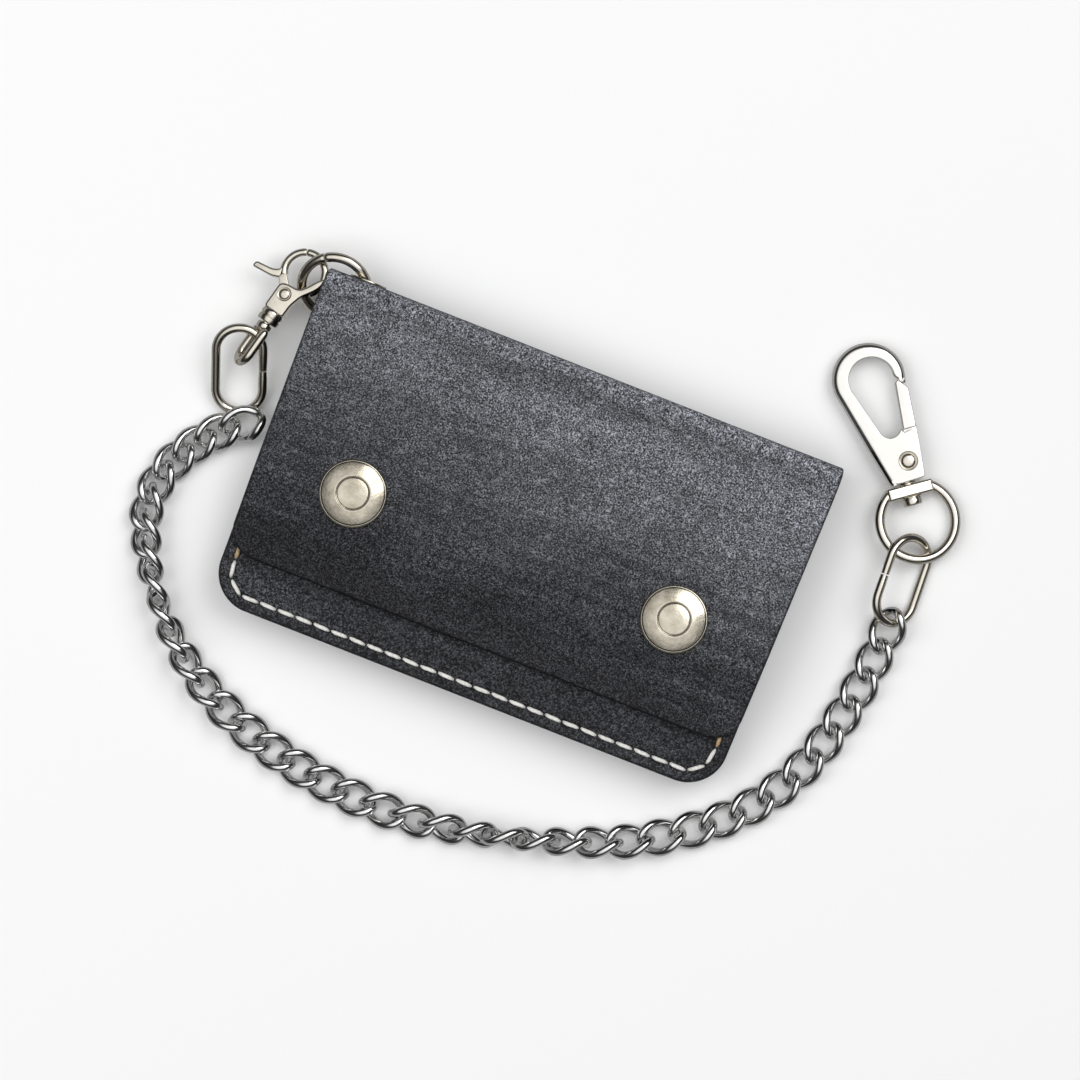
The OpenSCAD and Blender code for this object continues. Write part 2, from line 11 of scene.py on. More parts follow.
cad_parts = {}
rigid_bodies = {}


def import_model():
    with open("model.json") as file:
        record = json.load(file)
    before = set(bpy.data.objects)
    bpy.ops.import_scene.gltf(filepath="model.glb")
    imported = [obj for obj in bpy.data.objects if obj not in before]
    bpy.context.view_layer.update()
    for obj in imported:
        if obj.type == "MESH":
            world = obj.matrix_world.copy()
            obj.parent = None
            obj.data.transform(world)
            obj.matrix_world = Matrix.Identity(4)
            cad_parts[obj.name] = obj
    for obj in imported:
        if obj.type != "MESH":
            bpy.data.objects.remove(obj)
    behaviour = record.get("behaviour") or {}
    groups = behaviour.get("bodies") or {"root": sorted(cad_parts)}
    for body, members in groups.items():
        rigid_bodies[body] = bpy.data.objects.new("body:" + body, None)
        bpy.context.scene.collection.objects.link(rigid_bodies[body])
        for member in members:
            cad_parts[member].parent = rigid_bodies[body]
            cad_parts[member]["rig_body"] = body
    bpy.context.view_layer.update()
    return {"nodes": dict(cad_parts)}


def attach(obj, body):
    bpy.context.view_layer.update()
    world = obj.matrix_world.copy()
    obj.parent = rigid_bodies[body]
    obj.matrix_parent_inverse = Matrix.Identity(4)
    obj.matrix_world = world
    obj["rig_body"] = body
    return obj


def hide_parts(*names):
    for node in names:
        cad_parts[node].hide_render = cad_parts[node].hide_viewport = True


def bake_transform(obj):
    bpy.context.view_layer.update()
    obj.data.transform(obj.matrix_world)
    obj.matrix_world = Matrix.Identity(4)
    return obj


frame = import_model()
NODES = frame["nodes"]
MM = 0.001

# ---------------------------------------------------------------- camera, floor and light

# The picture is square, 259.2 mm across, and looks straight down on the table
VIEW_CENTRE = (4.45, -0.29)
VIEW_WIDTH = 259.2
VIEW_TURN = 21.4
CAMERA_HEIGHT = 1300.0
SENSOR = 36.0


def make_camera():
    data = bpy.data.cameras.new("camera")
    data.sensor_width = SENSOR
    data.lens = SENSOR * CAMERA_HEIGHT / VIEW_WIDTH
    data.clip_start, data.clip_end = 0.05, 20
    cam = bpy.data.objects.new("camera", data)
    bpy.context.scene.collection.objects.link(cam)
    cam.location = Vector((*VIEW_CENTRE, CAMERA_HEIGHT)) * MM
    cam.rotation_euler = (0, 0, math.radians(VIEW_TURN))
    bpy.context.scene.camera = cam


def make_floor():
    bpy.ops.mesh.primitive_plane_add(size=12, location=(0, 0, -0.00002))
    floor = bpy.context.object
    floor.name = "floor"
    mat = bpy.data.materials.new("floor")
    mat.use_nodes = True
    bsdf = mat.node_tree.nodes["Principled BSDF"]
    bsdf.inputs["Base Color"].default_value = (0.92, 0.92, 0.92, 1)
    bsdf.inputs["Roughness"].default_value = 0.9
    bsdf.inputs["Specular IOR Level"].default_value = 0.1
    floor.data.materials.append(mat)
    # The metal mirrors the dark studio below the horizon instead of the white table, which gives it black outlines
    floor.visible_glossy = False


def make_light(name, at, size, watts, mirrored=True):
    data = bpy.data.lights.new(name, "AREA")
    data.shape = "RECTANGLE"
    data.size, data.size_y = size
    data.energy = watts
    lamp = bpy.data.objects.new(name, data)
    bpy.context.scene.collection.objects.link(lamp)
    lamp.location = at
    lamp.rotation_euler = (-Vector(at)).to_track_quat("-Z", "Y").to_euler()
    lamp.visible_glossy = mirrored


def make_world():
    """A soft white tent: bright overhead, with a darker band near the horizon for the metal to reflect."""
    world = bpy.data.worlds.new("studio")
    bpy.context.scene.world = world
    world.use_nodes = True
    tree = world.node_tree
    coord = tree.nodes.new("ShaderNodeTexCoord")
    split = tree.nodes.new("ShaderNodeSeparateXYZ")
    ramp = tree.nodes.new("ShaderNodeValToRGB")
    tree.links.new(coord.outputs["Generated"], split.inputs[0])
    tree.links.new(split.outputs["Z"], ramp.inputs[0])
    stops = [(0.0, 0.42), (0.10, 0.06), (0.50, 0.03), (0.72, 0.10), (0.84, 0.95), (1.0, 1.35)]
    while len(ramp.color_ramp.elements) < len(stops):
        ramp.color_ramp.elements.new(0.5)
    for element, (place, value) in zip(ramp.color_ramp.elements, stops):
        element.position = place
        element.color = (value, value, value, 1)
    background = tree.nodes["Background"]
    background.inputs["Strength"].default_value = 1.0
    tree.links.new(ramp.outputs[0], background.inputs["Color"])


make_camera()
make_floor()
make_world()
bpy.context.scene.view_settings.view_transform = "Standard"
make_light("key", (0.50, 0.80, 1.35), (1.1, 1.1), 10.5)
make_light("fill", (-0.9, -0.3, 1.1), (1.2, 1.2), 9.5, mirrored=False)

# ---------------------------------------------------------------- materials


def new_material(name):
    mat = bpy.data.materials.new(name)
    mat.use_nodes = True
    return mat, mat.node_tree, mat.node_tree.nodes["Principled BSDF"]


def add_node(tree, kind, **values):
    node = tree.nodes.new(kind)
    for key, value in values.items():
        if key in node.inputs:
            node.inputs[key].default_value = value
        else:
            setattr(node, key, value)
    return node


def noise(tree, vector, scale, detail=4.0, rough=0.6, distortion=0.0):
    node = add_node(tree, "ShaderNodeTexNoise", Scale=scale, Detail=detail, Roughness=rough, Distortion=distortion)
    tree.links.new(vector, node.inputs["Vector"])
    return node.outputs["Fac"]


def scaled(tree, vector, scale, rotation=(0, 0, 0)):
    node = add_node(tree, "ShaderNodeMapping", Scale=scale, Rotation=rotation)
    tree.links.new(vector, node.inputs["Vector"])
    return node.outputs["Vector"]


def ramp(tree, value, stops):
    node = tree.nodes.new("ShaderNodeValToRGB")
    while len(node.color_ramp.elements) < len(stops):
        node.color_ramp.elements.new(0.5)
    for element, (place, colour) in zip(node.color_ramp.elements, stops):
        element.position = place
        element.color = (*colour, 1) if hasattr(colour, "__len__") else (colour, colour, colour, 1)
    tree.links.new(value, node.inputs["Fac"])
    return node.outputs["Color"]


def mix(tree, kind, factor, a, b):
    node = tree.nodes.new("ShaderNodeMix")
    node.data_type = "RGBA"
    node.blend_type = kind
    for socket, value in ((node.inputs[0], factor), (node.inputs[6], a), (node.inputs[7], b)):
        if isinstance(value, bpy.types.NodeSocket):
            tree.links.new(value, socket)
        else:
            socket.default_value = value
    return node.outputs[2]


def maths(tree, kind, a, b=0.0, c=0.0):
    node = add_node(tree, "ShaderNodeMath", operation=kind)
    for socket, value in zip(node.inputs, (a, b, c)):
        if isinstance(value, bpy.types.NodeSocket):
            tree.links.new(value, socket)
        else:
            socket.default_value = value
    return node.outputs[0]


def bump(tree, bsdf, height, strength, distance):
    node = add_node(tree, "ShaderNodeBump", Strength=strength, Distance=distance)
    tree.links.new(height, node.inputs["Height"])
    tree.links.new(node.outputs["Normal"], bsdf.inputs["Normal"])


def ridges(tree, vector, scale, width):
    """Thin wandering lines, where a noise crosses its middle."""
    middle = maths(tree, "ABSOLUTE", maths(tree, "SUBTRACT", noise(tree, vector, scale, 1.0, 0.5, 0.5), 0.5))
    return ramp(tree, middle, [(0.0, 1.0), (width, 0.0)])


def leather_material(name, level=1.0):
    """Near-black navy leather under a pale waxy bloom. The bloom is a fine fleck of dots and fibres, thick where the
    point attribute for it is high; that attribute also carries painted light and shade, so its amount is partly a
    painted sheen, a painted highlight and painted shade. The burnished edges, marked by "edge", stay black."""
    mat, tree, bsdf = new_material(name)
    rest = add_node(tree, "ShaderNodeAttribute", attribute_name="rest").outputs["Vector"]
    edge = add_node(tree, "ShaderNodeAttribute", attribute_name="edge").outputs["Fac"]
    bloom_and_lighting = add_node(tree, "ShaderNodeAttribute", attribute_name="bloom_and_lighting").outputs["Fac"]
    cloud = noise(tree, rest, 45, 4, 0.6)
    streak = noise(tree, scaled(tree, rest, (0.16, 2.0, 1), (0, 0, math.radians(-9))), 210, 3, 0.6)
    dots = ramp(tree, noise(tree, rest, 2500, 2.0, 0.6), [(0.44, 0.0), (0.56, 0.26), (0.66, 1.0)])
    fibres = maths(tree, "MAXIMUM", ridges(tree, rest, 740, 0.038),
                   ridges(tree, scaled(tree, rest, (1, 1, 1), (0.3, 0.2, 1.1)), 1150, 0.042))
    broken = ramp(tree, noise(tree, rest, 1100, 2, 0.6), [(0.42, 0.0), (0.62, 1.0)])
    fleck = maths(tree, "MAXIMUM", dots, maths(tree, "MULTIPLY", fibres, maths(tree, "MULTIPLY", broken, 0.95)))
    patches = ramp(tree, noise(tree, rest, 330, 3, 0.6), [(0.3, 0.72), (0.7, 1.25)])
    # The mean paleness of the leather, from the bloom attribute with its painted light and shade, then the fleck
    # about that mean
    amount = maths(tree, "ADD", bloom_and_lighting, maths(tree, "MULTIPLY", maths(tree, "SUBTRACT", cloud, 0.5), 0.42))
    amount = maths(tree, "ADD", amount, maths(tree, "MULTIPLY", maths(tree, "SUBTRACT", streak, 0.5), 0.48))
    mean = ramp(tree, amount, [(0.0, 0.010 * level), (0.2, 0.020 * level), (0.45, 0.052 * level),
                               (0.75, 0.125 * level), (1.0, 0.170 * level)])
    spread = maths(tree, "MULTIPLY_ADD", fleck, 3.3, 0.14)
    value = maths(tree, "MULTIPLY", maths(tree, "MULTIPLY", mean, spread), patches)
    value = maths(tree, "ADD", value, maths(tree, "MULTIPLY", fleck, 0.034))
    colour = mix(tree, "MULTIPLY", 1.0, (0.905, 0.935, 1.045, 1), value)
    colour = mix(tree, "MIX", edge, colour, (0.006, 0.006, 0.008, 1))
    tree.links.new(colour, bsdf.inputs["Base Color"])
    rough = maths(tree, "MULTIPLY_ADD", edge, -0.22, 0.60)
    rough = maths(tree, "ADD", rough, maths(tree, "MULTIPLY", fleck, 0.15))
    tree.links.new(rough, bsdf.inputs["Roughness"])
    bsdf.inputs["Specular IOR Level"].default_value = 0.18
    grain = noise(tree, rest, 900, 3, 0.6)
    height = maths(tree, "ADD", maths(tree, "MULTIPLY", grain, 0.8), maths(tree, "MULTIPLY", fleck, 0.35))
    bump(tree, bsdf, height, 0.30, 0.00035)
    return mat


def metal_material(name, colour, dark, rough, scratch=0.25, dimple=0.0):
    """Plated metal: slightly uneven colour, a fine brushed scratch, shallow dimples and an uneven polish."""
    mat, tree, bsdf = new_material(name)
    coord = tree.nodes.new("ShaderNodeTexCoord").outputs["Object"]
    patch = noise(tree, coord, 210, 4, 0.6)
    brushed = noise(tree, scaled(tree, coord, (0.25, 3.0, 1.0), (0, 0, 0.6)), 1800, 3, 0.7)
    colour_out = mix(tree, "MIX", ramp(tree, patch, [(0.35, 0.0), (0.7, 1.0)]), (*colour, 1), (*dark, 1))
    tree.links.new(colour_out, bsdf.inputs["Base Color"])
    bsdf.inputs["Metallic"].default_value = 1.0
    uneven = maths(tree, "MULTIPLY_ADD", patch, 0.16, rough - 0.08)
    tree.links.new(maths(tree, "MULTIPLY_ADD", brushed, 0.08, uneven), bsdf.inputs["Roughness"])
    bump(tree, bsdf, maths(tree, "MULTIPLY_ADD", patch, dimple, brushed), scratch, 0.00003)
    return mat


def thread_material(name, colour, dark):
    """Waxed twisted thread."""
    mat, tree, bsdf = new_material(name)
    coord = tree.nodes.new("ShaderNodeTexCoord").outputs["Object"]
    ply = noise(tree, scaled(tree, coord, (1, 1.6, 1), (0, 0, 0.7)), 1500, 2, 0.5)
    soil = noise(tree, coord, 240, 3, 0.6)
    colour_out = mix(tree, "MIX", ramp(tree, ply, [(0.3, 1.0), (0.62, 0.0)]), (*colour, 1), (*dark, 1))
    colour_out = mix(tree, "MULTIPLY", ramp(tree, soil, [(0.45, 0.0), (0.9, 0.35)]), colour_out, (0.7, 0.66, 0.6, 1))
    tree.links.new(colour_out, bsdf.inputs["Base Color"])
    bsdf.inputs["Roughness"].default_value = 0.55
    bsdf.inputs["Sheen Weight"].default_value = 0.2
    bump(tree, bsdf, ply, 0.5, 0.00015)
    return mat


LEATHER = leather_material("leather")
LEATHER_IN = leather_material("leather_inside", 0.85)
NICKEL = metal_material("nickel_polished", (0.68, 0.64, 0.56), (0.60, 0.56, 0.485), 0.12)
# A lighter copy of the nickel for the belt hook and its gate: painted light, standing for the brighter light falling
# on the hook than on the trigger, which sits in shade
NICKEL_PAINTED_LIT = metal_material("nickel_painted_lit", (0.76, 0.745, 0.71), (0.72, 0.70, 0.665), 0.12, 0.15)
NICKEL_SATIN = metal_material("nickel_satin", (0.62, 0.575, 0.48), (0.36, 0.325, 0.255), 0.16, 0.4, dimple=9.0)
STEEL = metal_material("curb_steel", (0.72, 0.72, 0.71), (0.60, 0.60, 0.605), 0.09)
WHITE = thread_material("white_thread", (0.86, 0.85, 0.82), (0.60, 0.58, 0.54))
TAN = thread_material("tan_thread", (0.52, 0.38, 0.20), (0.30, 0.20, 0.10))

# ---------------------------------------------------------------- mesh helpers


def rot(axis, degrees):
    return Matrix.Rotation(math.radians(degrees), 4, axis)


def frame_at(origin, *turns):
    """Matrix that turns by each (axis, degrees) in order from the outside in, then moves to origin."""
    matrix = Matrix.Translation(Vector(origin))
    for axis, degrees in turns:
        matrix = matrix @ rot(axis, degrees)
    return matrix


def lookup(at, table):
    return float(np.interp(at, [p[0] for p in table], [p[1] for p in table]))


def piece(name, verts, faces, material, body, slot, hides=(), matrix=None, smooth=50, marks=None):
    """Makes an object from points in millimetres, shades it and puts it on its body."""
    points = np.asarray(verts, float)
    if matrix is not None:
        m = np.array(matrix)
        points = points @ m[:3, :3].T + m[:3, 3]
    mesh = bpy.data.meshes.new(name)
    mesh.from_pydata((points * MM).tolist(), [], faces)
    mesh.update()
    bm = bmesh.new()
    bm.from_mesh(mesh)
    bmesh.ops.recalc_face_normals(bm, faces=bm.faces)
    bm.to_mesh(mesh)
    bm.free()
    for key, values in (marks or {}).items():
        values = np.asarray(values, np.float32)
        kind, field = ("FLOAT", "value") if values.ndim == 1 else ("FLOAT_VECTOR", "vector")
        mesh.attributes.new(key, kind, "POINT").data.foreach_set(field, values.ravel())
    obj = bpy.data.objects.new(name, mesh)
    bpy.context.scene.collection.objects.link(obj)
    mesh.materials.append(material)
    mesh.set_sharp_from_angle(angle=math.radians(smooth))
    mesh.polygons.foreach_set("use_smooth", [True] * len(mesh.polygons))
    if body:
        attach(obj, body)
    if hides:
        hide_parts(*hides)
    return obj


def merge(parts):
    """Joins (verts, faces) pairs into one."""
    verts, faces = [], []
    for v, f in parts:
        base = len(verts)
        verts.extend([tuple(p) for p in v])
        faces.extend([tuple(base + i for i in face) for face in f])
    return verts, faces


def moved(part, matrix):
    verts, faces = part
    return [tuple(matrix @ Vector(p)) for p in verts], faces


def sweep(path, radius, closed=True, sides=18, out=None, squash=1.0):
    """Round wire along a path. out gives a direction for each point that the section is turned to."""
    path = np.asarray(path, float)
    n = len(path)
    if closed:
        ahead = np.roll(path, -1, 0) - np.roll(path, 1, 0)
    else:
        ahead = np.gradient(path, axis=0)
    ahead /= np.linalg.norm(ahead, axis=1)[:, None]
    out = np.asarray(out if out is not None else np.tile([0, 0, 1.0], (n, 1)), float)
    e1 = np.cross(ahead, out)
    e1 /= np.linalg.norm(e1, axis=1)[:, None]
    e2 = np.cross(e1, ahead)
    radius = np.broadcast_to(np.asarray(radius, float), (n,))
    a = 2 * math.pi * np.arange(sides) / sides
    rings = path[:, None] + radius[:, None, None] * (
        np.cos(a)[None, :, None] * e1[:, None] * squash + np.sin(a)[None, :, None] * e2[:, None])
    verts = rings.reshape(-1, 3).tolist()
    faces = []
    for i in range(n if closed else n - 1):
        j = (i + 1) % n
        for k in range(sides):
            m = (k + 1) % sides
            faces.append((i * sides + k, i * sides + m, j * sides + m, j * sides + k))
    if not closed:
        faces.append(tuple(range(sides)))
        faces.append(tuple((n - 1) * sides + k for k in reversed(range(sides))))
    return verts, faces


def lathe(profile, steps=96):
    """Turns (radius, height) points about Z. A point at radius 0 closes the end."""
    verts, faces, rings = [], [], []
    for r, z in profile:
        if r < 1e-6:
            rings.append([len(verts)])
            verts.append((0, 0, z))
        else:
            rings.append(list(range(len(verts), len(verts) + steps)))
            verts += [(r * math.cos(2 * math.pi * k / steps), r * math.sin(2 * math.pi * k / steps), z)
                      for k in range(steps)]
    for low, high in zip(rings, rings[1:]):
        for k in range(steps):
            m = (k + 1) % steps
            if len(low) == 1 and len(high) > 1:
                faces.append((low[0], high[m], high[k]))
            elif len(high) == 1 and len(low) > 1:
                faces.append((low[k], low[m], high[0]))
            elif len(low) > 1:
                faces.append((low[k], low[m], high[m], high[k]))
    return verts, faces


def arc(centre, radius, start, end, steps):
    """Points of an arc in a plane, from one angle to another in degrees."""
    return [(centre[0] + radius * math.cos(math.radians(a)), centre[1] + radius * math.sin(math.radians(a)))
            for a in np.linspace(start, end, steps + 1)]


def inset(outline, distance):
    """Moves each point of a closed outline inwards by its own distance."""
    p = np.asarray(outline, float)
    before, after = p - np.roll(p, 1, 0), np.roll(p, -1, 0) - p
    before /= np.linalg.norm(before, axis=1)[:, None]
    after /= np.linalg.norm(after, axis=1)[:, None]
    n1, n2 = np.c_[-before[:, 1], before[:, 0]], np.c_[-after[:, 1], after[:, 0]]
    middle = n1 + n2
    middle /= np.maximum((middle * n1).sum(1), 0.55)[:, None]
    return p + middle * np.asarray(distance, float)[:, None]


def plate(outline, low, high, radius, steps=5):
    """Flat plate with rounded edges. The outline runs anticlockwise; radius is one number or one for each point."""
    n = len(outline)
    radius = np.broadcast_to(np.asarray(radius, float), (n,))
    verts, rings = [], []
    for top in (False, True):
        for a in np.linspace(0, math.pi / 2, steps + 1):
            flat = inset(outline, radius * (1 - math.cos(a)))
            rise = radius * (1 - math.sin(a))
            z = high - rise if top else low + rise
            rings.append(list(range(len(verts), len(verts) + n)))
            verts += [(x, y, h) for (x, y), h in zip(flat, z)]
    order = rings[steps::-1] + rings[steps + 1:]
    faces = []
    for lower, upper in zip(order, order[1:]):
        for k in range(n):
            m = (k + 1) % n
            faces.append((lower[k], lower[m], upper[m], upper[k]))
    for ring in (order[0], order[-1]):
        loop = [Vector((verts[i][0], verts[i][1], 0)) for i in ring]
        faces += [tuple(ring[i] for i in tri) for tri in tessellate_polygon([loop])]
    return verts, faces


DRESS_BEVEL = 0.12


def body_of(node):
    return NODES[node]["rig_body"]


def dress(node, material):
    """A copy of a CAD node with its flat faces joined up and its edges rounded."""
    mesh = NODES[node].data.copy()
    mesh.name = node + "_round"
    obj = bpy.data.objects.new(node + "_round", mesh)
    bpy.context.scene.collection.objects.link(obj)
    bm = bmesh.new()
    bm.from_mesh(mesh)
    bmesh.ops.remove_doubles(bm, verts=bm.verts, dist=2e-6)
    bmesh.ops.dissolve_limit(bm, angle_limit=math.radians(1.0), verts=bm.verts, edges=bm.edges)
    bmesh.ops.recalc_face_normals(bm, faces=bm.faces)
    bm.to_mesh(mesh)
    bm.free()
    bevel = obj.modifiers.new("bevel", "BEVEL")
    bevel.width = DRESS_BEVEL * MM
    bevel.segments = 2
    bevel.limit_method = "ANGLE"
    bevel.angle_limit = math.radians(30)
    bevel.use_clamp_overlap = True
    mesh.materials.clear()
    mesh.materials.append(material)
    apply_modifiers(obj)
    obj.data.set_sharp_from_angle(angle=math.radians(38))
    obj.data.polygons.foreach_set("use_smooth", [True] * len(obj.data.polygons))
    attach(obj, body_of(node))
    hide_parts(node)


def apply_modifiers(obj):
    bpy.context.view_layer.update()
    graph = bpy.context.evaluated_depsgraph_get()
    mesh = bpy.data.meshes.new_from_object(obj.evaluated_get(graph))
    obj.modifiers.clear()
    obj.data = mesh


# ---------------------------------------------------------------- leather

WALLET_W = 132.0
WALLET_H = 83.6
TAPER = 3.2
COVER_T = 2.2
Y_BOTTOM = -WALLET_H / 2
Y_AXIS = 40.7
Z_AXIS = 15.7
Y_FLAP_END = -29.5
Y_DROP, DROP_RUN, FLAP_DROP = -6.0, 23.5, 2.94705
Y_DIVIDER, Y_CARD, Y_POCKET = 27.0, 21.0, 13.0
CORNER_R = 9.5
FLAP_CORNER_R = 7.0
SEAM_INSET = 3.2
STITCH_PITCH = 4.55
STITCH_LEN = 3.7
STITCH_LEAN = -4
THREAD_D = 0.9
Z_FRONT = 11.4
Z_BACK_THREAD = 0.52
BACK_BEND = 2.0
FOLD_BEND = 2.7
GROMMET_AT, GROMMET_HOLE_R = (-56.1, 40.7, 8.75), 3.62
DIVIDER_Z, CARD_Z, POCKET_Z = 6.4, 7.4, 9.2
DIVIDER_T, CARD_T, POCKET_T = 1.0, 1.8, 2.2
PANEL_INSET = 0.12


def half_w(y):
    return WALLET_W / 2 - TAPER / 2 * (WALLET_H / 2 - y) / WALLET_H


class Profile:
    """A curve in the YZ plane with its length as parameter."""

    def __init__(self, points):
        self.p = np.asarray(points, float)
        self.s = np.r_[0, np.cumsum(np.linalg.norm(np.diff(self.p, axis=0), axis=1))]

    def at(self, s):
        return np.array([np.interp(s, self.s, self.p[:, 0]), np.interp(s, self.s, self.p[:, 1])])

    def normal(self, s):
        d = self.at(min(s + 0.05, self.s[-1])) - self.at(max(s - 0.05, 0))
        d /= np.linalg.norm(d)
        return np.array([-d[1], d[0]])


def flat_profile(y0, y1, z):
    return Profile([(y, z) for y in np.linspace(y0, y1, 40)])


def cover_profile():
    """Middle of the outer leather: up the back, round the spine, and down over the front to the flap's end."""
    pts = [(Y_BOTTOM, COVER_T / 2)]
    pts += arc((Y_AXIS - BACK_BEND, COVER_T / 2 + BACK_BEND), BACK_BEND, -90, 0, 14)
    pts += arc((Y_AXIS - FOLD_BEND, Z_AXIS - FOLD_BEND), FOLD_BEND, 0, 90, 18)
    # The flap lies level to the snaps, then drops until it rests on the pocket
    for y in np.arange(34, Y_FLAP_END, -1.0):
        pts.append((y, Z_AXIS - flap_drop(y)))
    pts.append((Y_FLAP_END, Z_AXIS - flap_drop(Y_FLAP_END)))
    return Profile(pts)


def flap_drop(y):
    u = min(max((Y_DROP - y) / DROP_RUN, 0), 1)
    return FLAP_DROP * u * u * (3 - 2 * u)


def edge_steps(reach, near):
    """Distances from an edge: close together where it rounds over, wider further in."""
    steps = [0, 0.03, 0.11, 0.24, 0.42, 0.62, 0.9, 1.3, 1.8]
    d = 1.8
    while d + near < reach:
        d += near
        steps.append(d)
    return steps


EDGE_BAND = 5.2


def leather_sheet(name, profile, width, corners, thickness, body, hides, pitch, round_over=0.55,
                  dents=None, near=0.45, material=None, blend=None, hole=None, bloom_and_lighting=None):
    """A leather panel along a profile. width(s) is its half width there, and corners the radii at its two ends."""
    length = profile.s[-1]
    near_steps = edge_steps(EDGE_BAND, near)
    band = near_steps[-1]
    inner = np.arange(band + pitch, length - band - pitch / 2, pitch)
    bends = [s for s in profile.s if band < s < length - band]
    far_steps = [length - d for d in near_steps]
    rows = sorted(set(np.round(np.concatenate([near_steps, inner, far_steps, bends]), 4)))
    rows = [r for i, r in enumerate(rows) if i == 0 or r - rows[i - 1] > 0.02]
    count = int(2 * (WALLET_W / 2 - EDGE_BAND) / pitch)
    spread = np.linspace(-1, 1, count + 1)
    top, bottom, edge, paleness_and_lighting, rest = [], [], [], [], []
    for s in rows:
        half = width(s)
        cut = 0.0
        for near_end, r in ((s, corners[0]), (length - s, corners[1])):
            if r and near_end < r:
                cut = max(cut, r - math.sqrt(max(r * r - (r - near_end) ** 2, 0)))
        half -= cut
        right = [half - d for d in reversed(near_steps[:-1])]
        xs = [-x for x in reversed(right)] + list(spread * (half - band)) + right
        (y, z), normal = profile.at(s), profile.normal(s)
        for x in xs:
            d = edge_distance(x, s, width(s), length, corners)
            lift = math.sqrt(max(round_over ** 2 - max(round_over - d, 0) ** 2, 0)) / round_over
            t = thickness / 2 * lift
            dent = dents(x, s) if dents else 0.0
            c = np.array([y, z])
            up = c + normal * (t - dent * min(lift, 1))
            down = c - normal * t
            top.append((x, up[0], up[1]))
            bottom.append((x, down[0], down[1]))
            edge.append(max(0.0, 1 - d / (round_over * 1.5)))
            paleness_and_lighting.append(bloom_and_lighting(x, s) if bloom_and_lighting else 0.20 - 0.0006 * x)
            rest.append((x * MM, s * MM, (t + z) * MM))
    cols = len(near_steps[:-1]) * 2 + len(spread)
    total = len(top)
    verts = top + bottom
    faces = []
    for i in range(len(rows) - 1):
        for k in range(cols - 1):
            a, b = i * cols + k, (i + 1) * cols + k
            faces.append((a, a + 1, b + 1, b))
            faces.append((total + a, total + b, total + b + 1, total + a + 1))
    rim = [*range(cols), *range(2 * cols - 1, total, cols), *range(total - 2, total - cols - 1, -1),
           *range(total - 2 * cols, 0, -cols)]
    for a, b in zip(rim, rim[1:] + rim[:1]):
        faces.append((a, b, total + b, total + a))
    marks = {"edge": edge * 2, "bloom_and_lighting": paleness_and_lighting * 2, "rest": rest + [(x, s, w - 0.01) for x, s, w in rest]}
    obj = piece(name, verts, faces, material or LEATHER, None, "dark_leather", (), None, 60, marks)
    bm = bmesh.new()
    bm.from_mesh(obj.data)
    bmesh.ops.remove_doubles(bm, verts=bm.verts, dist=4e-6)
    bmesh.ops.recalc_face_normals(bm, faces=bm.faces)
    bm.to_mesh(obj.data)
    bm.free()
    if hole:
        punch(obj, *hole)
    if blend:
        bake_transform(obj)
    else:
        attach(obj, body)
    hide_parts(*hides)
    return obj


def edge_distance(x, s, half, length, corners):
    """Distance from a point of a sheet to its outline, laid flat."""
    side = half - abs(x)
    best = min(side, s, length - s)
    for near_end, r in ((s, corners[0]), (length - s, corners[1])):
        if r and near_end < r and side < r:
            best = min(best, r - math.hypot(r - near_end, r - side))
    return max(best, 0.0)


def punch(obj, centre, direction, radius):
    """Cuts a round hole through a sheet."""
    tool = bmesh.new()
    turn = Vector(direction).to_track_quat("Z", "Y").to_matrix().to_4x4()
    bmesh.ops.create_cone(tool, cap_ends=True, segments=64, radius1=radius * MM, radius2=radius * MM, depth=0.006,
                          matrix=Matrix.Translation(Vector(centre) * MM) @ turn)
    cut_away(obj, tool)


def cut_away(obj, tool_bm):
    """Takes a closed shape, in metres, out of an object."""
    mesh = bpy.data.meshes.new("tool")
    tool_bm.to_mesh(mesh)
    tool_bm.free()
    tool = bpy.data.objects.new("tool", mesh)
    bpy.context.scene.collection.objects.link(tool)
    cut = obj.modifiers.new("cut", "BOOLEAN")
    cut.operation = "DIFFERENCE"
    cut.solver = "EXACT"
    cut.object = tool
    apply_modifiers(obj)
    bpy.data.objects.remove(tool)


# Seam along the bottom and round both corners
SEAM_R = CORNER_R - SEAM_INSET
SEAM_X = half_w(Y_BOTTOM) - SEAM_INSET
SEAM_CORNER_Y = Y_BOTTOM + CORNER_R
BOTTOM_RUN = 2 * (SEAM_X - SEAM_R)
FRONT_COUNT = 2 * math.floor((BOTTOM_RUN / 2 + SEAM_R * math.pi / 2) / STITCH_PITCH) + 1
SIDE_START = SEAM_CORNER_Y + 1.2
SIDE_COUNT = math.floor((Y_DIVIDER - SIDE_START) / STITCH_PITCH)


def seam(s):
    """Place and heading along the bottom seam at a distance from its middle."""
    if abs(s) < BOTTOM_RUN / 2:
        return s, Y_BOTTOM + SEAM_INSET, 0.0
    turn = (abs(s) - BOTTOM_RUN / 2) / SEAM_R
    side = math.copysign(1, s)
    return (side * (SEAM_X - SEAM_R + SEAM_R * math.sin(turn)), SEAM_CORNER_Y - SEAM_R * math.cos(turn),
            side * math.degrees(turn))


FRONT_STITCHES = [seam((i - (FRONT_COUNT - 1) / 2) * STITCH_PITCH) for i in range(FRONT_COUNT)]
SIDE_STITCHES = [(side * (half_w(y) - SEAM_INSET), y, 90 + side * math.degrees(math.atan(TAPER / 2 / WALLET_H)))
                 for side in (-1, 1) for y in [SIDE_START + (i + 0.5) * STITCH_PITCH for i in range(SIDE_COUNT)]]


